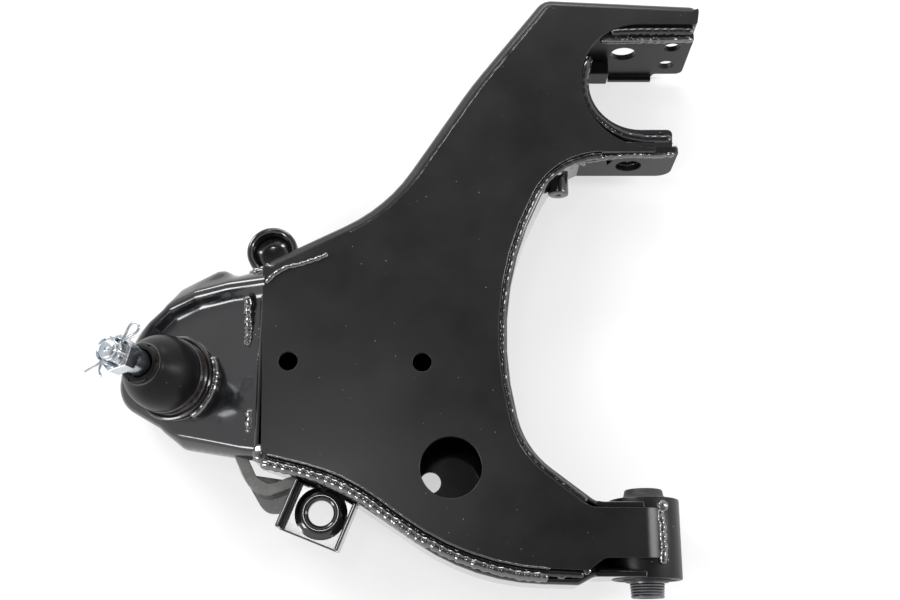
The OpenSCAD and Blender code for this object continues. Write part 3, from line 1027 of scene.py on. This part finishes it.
def makePin():
    points = curveThrough([(x * mm, y * mm, z * mm) for x, y, z in pinLook["line"]], 0.7 * mm)
    last = len(points) - 1
    radii = []
    for k in range(last + 1):
        radii.append(pinLook["wire"] * mm * min(1.0, 0.45 + 0.2 * k, 0.45 + 0.2 * (last - k)))
    pin = tube("splitPin", points, radii, 3)
    settle(pin, tipPlace @ Matrix.Translation((0, 0, pinLook["height"] * mm))
           @ Matrix.Rotation(math.radians(pinLook["turn"]), 4, "Z"))
    finishPiece(pin, brightZinc, "stud", "zinc", "cotter_pin")


makeSocket()
makeCover()
makeStud()
makeNut()
makePin()
print("ball joint done")


# link bracket's pressed ring

ringProfile = [(9.45, 0.3), (9.45, 4.6), (9.9, 5.7), (11.0, 6.5), (12.6, 6.9), (14.4, 6.8), (16.0, 6.1),
               (17.4, 4.9), (18.6, 3.9), (20.0, 3.4), (20.0, 0.5)]


def makeLinkRing():
    mounts = frame["record"]["mounts"]
    place = next(Vector(m["pos_m"]) for m in mounts if m["name"] == "link_bore")
    ring = turned("linkRing", closedProfile(ringProfile), 96)
    smooth(ring, 50)
    settle(ring, Matrix.Translation((place.x, place.y, 0)))
    finishPiece(ring, glossPaint, "arm", "arm_paint")


makeLinkRing()


# weld beads

def edgeOf(height):
    # the plate's outline, in order, read from its flat top
    source = frame["nodes"]["upper_plate"].data
    uses = {}
    for face in source.polygons:
        if face.normal.z > 0.99 and abs(face.center.z - height) < 0.01 * mm:
            spots = [tuple(round(c, 6) for c in source.vertices[i].co.xy) for i in face.vertices]
            for a, b in zip(spots, spots[1:] + spots[:1]):
                uses[(a, b)] = True
    border = {a: b for a, b in uses if (b, a) not in uses}
    loops = []
    while border:
        start = next(iter(border))
        loop = [start]
        while loop[-1] in border:
            loop.append(border.pop(loop[-1]))
        loops.append(loop[:-1])
    return [Vector(p) for p in max(loops, key=len)]


outline = edgeOf(plateTop)


def alongEdge(start, end, outwards, height, step=1.1):
    # part of the plate's edge between two points, moved outwards, anticlockwise
    def nearest(p):
        return min(range(len(outline)), key=lambda k: (outline[k] - Vector(p) * mm).length)

    first, last = nearest(start), nearest(end)
    count = (last - first) % len(outline) + 1
    line = []
    for k in range(first, first + count):
        p = outline[k % len(outline)]
        before = outline[k - 1 if k % len(outline) else -1]
        way = (outline[(k + 1) % len(outline)] - before).normalized()
        shifted = p + Vector((way.y, -way.x)) * outwards * mm
        line.append(Vector((shifted.x, shifted.y, height * mm)))
    return evenSteps(line, step * mm)


def bead(name, line, radius, ripple, wander, seed, finish=weldPaint, pitch=6.5):
    # a ridge of overlapping puddles: the radius swells once a pitch, and the line wanders a little
    points, radii = [], []
    walked = 0.0
    for k, p in enumerate(line):
        walked += (line[k] - line[k - 1]).length / mm if k else 0.0
        uneven = noise.noise(Vector((walked * 0.21, seed, 3.1)))
        swell = 1 + ripple * (math.cos(2 * math.pi * walked / pitch) + 1.2 * uneven)
        shift = Vector([noise.noise(Vector((walked * 0.16, seed + 7.3 * axis, 0.7))) for axis in range(3)])
        points.append(p + shift * wander * mm)
        ends = min(walked, (len(line) - 1 - k) * 1.1) / radius      # in radii, from the nearer end
        radii.append(radius * mm * swell * math.sqrt(max(0.06, 1 - (1 - min(1.0, ends)) ** 2)))
    piece = tube(name, points, radii, 4)
    finishPiece(piece, finish, "arm", "arm_paint")


def tipLine(points, step=1.1):
    return [tipPlace @ p for p in curveThrough([(x * mm, y * mm, z * mm) for x, y, z in points], step * mm)]


def rowLine(points, step=1.1):
    return curveThrough([(x * mm, y * mm, z * mm) for x, y, z in points], step * mm)


def arcLine(radius, first, last, height):
    steps = 12
    angles = [math.radians(first + (last - first) * k / steps) for k in range(steps + 1)]
    return tipLine([(radius * math.cos(a), radius * math.sin(a), height) for a in angles])


def lump(name, place, size, flat, seed):
    # one puddle of weld, a squashed ball with an uneven skin
    takeUp(plate)
    bpy.ops.mesh.primitive_ico_sphere_add(subdivisions=4, radius=1)
    piece = bpy.context.object
    piece.name = name
    for vertex in piece.data.vertices:
        skin = 1 + 0.13 * noise.noise(vertex.co * 1.6 + Vector((seed, 0, 0)))
        vertex.co = Vector((vertex.co.x * size, vertex.co.y * size, vertex.co.z * size * flat)) * skin * mm
    settle(piece, Matrix.Translation(Vector(place) * mm))
    smooth(piece, 60)
    finishPiece(piece, weldPaint, "arm", "arm_paint")


grainLook = {"smallest": 0.25, "largest": 0.75, "flat": 0.7}


def spatter(name, line, count, reach, seed):
    # small beads of weld scattered about a line, one ball copied over and over
    smallest, largest, flat = grainLook["smallest"], grainLook["largest"], grainLook["flat"]
    draw = random.Random(seed)
    takeUp(plate)
    bpy.ops.mesh.primitive_ico_sphere_add(subdivisions=1, radius=mm)
    first = bpy.context.object
    grains = [first]
    for k in range(count):
        takeUp(first)
        bpy.ops.object.duplicate()
        grain = bpy.context.object
        size = smallest + (largest - smallest) * draw.random() ** 2
        spot = line[draw.randrange(len(line))]
        grain.scale = (size, size * (0.7 + 0.6 * draw.random()), size * flat)
        grain.location = spot + Vector([draw.uniform(-wide, wide) * mm for wide in reach])
        grains.append(grain)
    bpy.ops.object.select_all(action="DESELECT")
    bpy.data.objects.remove(first)
    for grain in grains[1:]:
        grain.select_set(True)
    bpy.context.view_layer.objects.active = grains[1]
    bpy.ops.object.join()
    piece = bpy.context.object
    piece.name = name
    bpy.ops.object.transform_apply(location=True, rotation=True, scale=True)
    smooth(piece, 80)
    # the grains' pale finish is a painted glint
    finishPiece(piece, spatterGlintPaint, "arm", "arm_paint")


# each bead: its line, radius, ripple, wander and seed, then a finish where it isn't the common one
beads = {
    "weldNearRoot": (alongEdge((-283, 60), (-50, -24), 2.6, 26.4), 3.4, 0.03, 0.3, 1.0, glossPaint),
    "weldNearEdge": (alongEdge((-280, 61), (-62, -23), 6.2, 27.2), 4.1, 0.07, 0.6, 2.0),
    "weldRecess": (alongEdge((-46, 21), (-18, 299.5), 2.2, 28.6), 2.8, 0.04, 0.4, 3.0, glossPaint),
    "weldSocketArc": (arcLine(34.6, -62, 26, -5.6), 3.4, 0.05, 0.3, 4.0),
    "weldTubeEnd": (
        rowLine([(7.8, -20, 25.4), (8.6, -8, 26.0), (8.2, 6, 26.0), (7.4, 21, 25.4)]),
        3.2, 0.14, 0.7, 5.0),
    "weldFrontEar": (
        rowLine([(-22, 400.9, 25), (0, 401.0, 25.5), (30, 401.2, 25.5), (54, 402, 25)]),
        2.8, 0.09, 0.6, 6.0),
    "frontEarShoulder": (
        rowLine([(-14, 405.5, 29.2), (10, 406.4, 29.6), (54, 406.8, 29.0)]),
        3.2, 0.05, 0.3, 16.0, glossPaint),
    "weldRearEar": (
        rowLine([(-46, 299.4, 14), (-36, 299.6, 14), (-25, 299.6, 19), (-2, 299.8, 24.5), (22, 299.8, 24),
                 (34, 300.2, 26)]),
        2.6, 0.09, 0.6, 7.0),
    "weldStripUpper": (
        tipLine([(60, 21, -7.5), (60.5, 34, -7), (60, 48, -5.5), (61, 60, -1.5)]),
        3.6, 0.12, 1.0, 8.0),
    "weldStripLower": (tipLine([(63.5, -49, -12.5), (64, -38, -9), (64, -27, -8)]), 3.6, 0.12, 1.0, 9.0),
    "weldLip": (
        rowLine([(-286, 190, 31.2), (-280, 196, 32), (-271, 202, 32), (-262, 205, 32), (-250, 208.5, 32),
                 (-238, 214, 32)]),
        2.1, 0.16, 0.6, 10.0),
    "rolledLine": (alongEdge((-60, 428), (-240, 226), -8.6, 31.4), 0.9, 0.05, 0.35, 11.0, glossPaint),
    "forkShoulder": (
        rowLine([(32, 312.4, 25.5), (12.5, 312.2, 25.5), (-4.5, 315.0, 25.8), (-16, 321.0, 26),
                 (-28, 331.5, 26), (-35.4, 346, 26), (-37.4, 362, 26), (-34.5, 378, 26), (-31.5, 387, 17)]),
        4.4, 0.02, 0.2, 12.0, glossPaint),
    "legStrip": (
        rowLine([(-41, -24.6, 18.5), (-25, -24.7, 18.5), (-11, -24.6, 18.5)]),
        3.1, 0.0, 0.0, 13.0, glossPaint),
    "rimNear": (alongEdge((-276, 57), (-66, -22), 0.1, 31.7), 0.8, 0.05, 0.12, 17.0),
    "rimRecess": (alongEdge((-44, 22), (-20, 299), -0.1, 31.7), 0.5, 0.02, 0.08, 18.0, glossPaint),
    "weldPegRoot": (
        rowLine([(-47, 297.6, 2), (-47, 299.0, 8), (-41, 299.2, 11), (-35, 299.0, 7)]),
        1.8, 0.16, 0.4, 14.0),
    "weldCup": (
        rowLine([(-300, 202.5, 18), (-294, 203.5, 23), (-287, 205, 25.5), (-284, 208, 26)]),
        2.4, 0.14, 0.4, 15.0),
}
for name, (line, radius, ripple, wander, seed, *finish) in beads.items():
    bead(name, line, radius, ripple, wander, seed, *finish)

# each lump: its place, size, flatness and seed
lumps = {
    "blobTipCorner": ((-283.5, 60, 27), 7.2, 0.5, 1.0),
    "blobNearEdge": ((-65.5, -26.5, 26.5), 4.6, 0.6, 2.0),
    "blobNearLeg": ((-46.7, -24.8, 26.5), 3.4, 0.6, 3.0),
    "blobTubeFar": ((9.4, 22, 25), 4.4, 0.7, 4.0),
    "blobUpperCorner": ((-284, 203, 30), 3.2, 0.5, 5.0),
}
for name, (place, size, flat, seed) in lumps.items():
    lump(name, place, size, flat, seed)

# each shower of spatter: the line it fell along, its count, reach and seed
showers = {
    "spatterTip": (
        rowLine([(-288.5, 62, 24), (-288.5, 120, 25), (-288.5, 196, 27)]), 70, (1.8, 2.0, 1.0), 21),
    "spatterNear": (alongEdge((-276, 58), (-70, -24), 5.0, 30.0), 16, (3.0, 3.0, 0.5), 22),
    "spatterRecess": (alongEdge((-40, 30), (-60, 280), 1.0, 31.0), 12, (2.0, 2.0, 0.3), 23),
    "spatterFrontEar": (rowLine([(-20, 400.2, 30), (50, 400.4, 30.6)]), 26, (2.0, 1.6, 0.8), 24),
    "spatterRearEar": (
        rowLine([(-42, 298.6, 17), (-20, 298.8, 22), (30, 299.4, 26.5)]), 26, (2.0, 1.4, 1.0), 25),
    "spatterStrips": (tipLine([(61, 22, -4.0), (61, 40, -3.5), (61, 58, 0.5)]), 60, (2.8, 2.0, 0.8), 27),
    "spatterForkEnd": (rowLine([(33, 301, 24), (34, 304, 27), (33, 309, 28)]), 24, (1.6, 2.0, 0.8), 28),
    "spatterLeg": (
        rowLine([(9.8, -18, 28.6), (10.4, 0, 29.4), (9.8, 20, 28.6)]), 22, (1.6, 2.0, 0.5), 26),
}
for name, (line, count, reach, seed) in showers.items():
    spatter(name, line, count, reach, seed)
print("weld beads done")


# finishes for the nodes that stay

for node, finish in (("ball_seat", seatPlastic), ("preload_washer", darkSteel)):
    slots = frame["nodes"][node].data.materials
    slots.clear()
    slots.append(finish)


# floor, light and camera

stageLook = {
    "floorSize": 12.0, "floorDrop": 0.6, "floorGlow": 0.54, "skyPower": 0.9,
    "camera": (-0.145, -0.095, 0.922), "tilt": 16.98, "lens": 49.0, "sensor": 36.0,
}


def makeFloor():
    takeUp(plate)
    bpy.ops.mesh.primitive_grid_add(x_subdivisions=8, y_subdivisions=8, size=stageLook["floorSize"],
                                    location=(0, 0, cadLow.z - stageLook["floorDrop"] * mm))
    floor = bpy.context.object
    floor.name = "studioFloor"
    # the floor glows a little, so that it stays white in the arm's soft shadow
    material, tree, shader, place = newFinish("floorWhite", Roughness=0.9, Emission_Color=(1, 1, 1, 1),
                                              Emission_Strength=stageLook["floorGlow"])
    shade = rampOf(tree, noiseNode(tree, place, 3.0),
                   [(0.3, (0.44, 0.44, 0.44)), (0.7, (0.48, 0.48, 0.48))])
    tree.links.new(shade, shader.inputs["Base Color"])
    floor.data.materials.append(material)
    floor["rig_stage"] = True


def makeWorld():
    world = bpy.data.worlds.new("studio")
    bpy.context.scene.world = world
    world.use_nodes = True
    tree = world.node_tree
    place = tree.nodes.new("ShaderNodeTexCoord").outputs["Generated"]
    split = tree.nodes.new("ShaderNodeSeparateXYZ")
    tree.links.new(place, split.inputs[0])
    sky = rampOf(tree, split.outputs["Z"], [(0.0, (1.0, 1.0, 1.0)), (0.50, (1.15, 1.15, 1.17)),
                                            (0.80, (0.70, 0.71, 0.73)), (0.90, (0.32, 0.32, 0.34)),
                                            (1.0, (0.10, 0.10, 0.11))])
    tree.links.new(sky, tree.nodes["Background"].inputs["Color"])
    tree.nodes["Background"].inputs["Strength"].default_value = stageLook["skyPower"]


def addSoftbox(name, place, target, width, length, power):
    light = bpy.data.lights.new(name, "AREA")
    light.shape = "RECTANGLE"
    light.size, light.size_y = width, length
    light.energy = power
    lamp = bpy.data.objects.new(name, light)
    bpy.context.scene.collection.objects.link(lamp)
    lamp.location = place
    lamp.rotation_euler = (Vector(target) - Vector(place)).to_track_quat("-Z", "Y").to_euler()


def makeCamera():
    camera = bpy.data.objects.new("camera", bpy.data.cameras.new("camera"))
    bpy.context.scene.collection.objects.link(camera)
    camera.data.lens = stageLook["lens"]
    camera.data.sensor_width = stageLook["sensor"]
    camera.location = stageLook["camera"]
    camera.rotation_euler = (math.radians(stageLook["tilt"]), 0, 0)
    bpy.context.scene.camera = camera


makeFloor()
makeWorld()
# each box: where it stands, what it faces, its width, length and power
softboxes = {
    "boxOverBracket": ((-0.397, 0.214, 1.5), (-0.2, 0.1, 0), 0.14, 0.14, 1.1),
    "boxLeft": ((-1.3, -0.5, 0.9), (-0.2, 0.1, 0), 0.3, 0.7, 8.0),
    "boxUpperLeft": ((-1.1, 1.0, 0.8), (-0.2, 0.2, 0), 0.3, 0.8, 8.0),
    "boxRight": ((1.1, 0.2, 0.9), (-0.1, 0.2, 0), 0.25, 0.8, 8.0),
    "boxBack": ((-0.2, 1.6, 0.8), (-0.2, 0.2, 0), 0.9, 0.25, 8.0),
}
for name, box in softboxes.items():
    addSoftbox(name, *box)
makeCamera()
bpy.context.scene.view_settings.view_transform = "Standard"

seenLow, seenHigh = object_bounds()
grown = [round(v / mm, 1) for v in (*(cadLow - seenLow), *(seenHigh - cadHigh))]
print("grown by", grown, "mm")
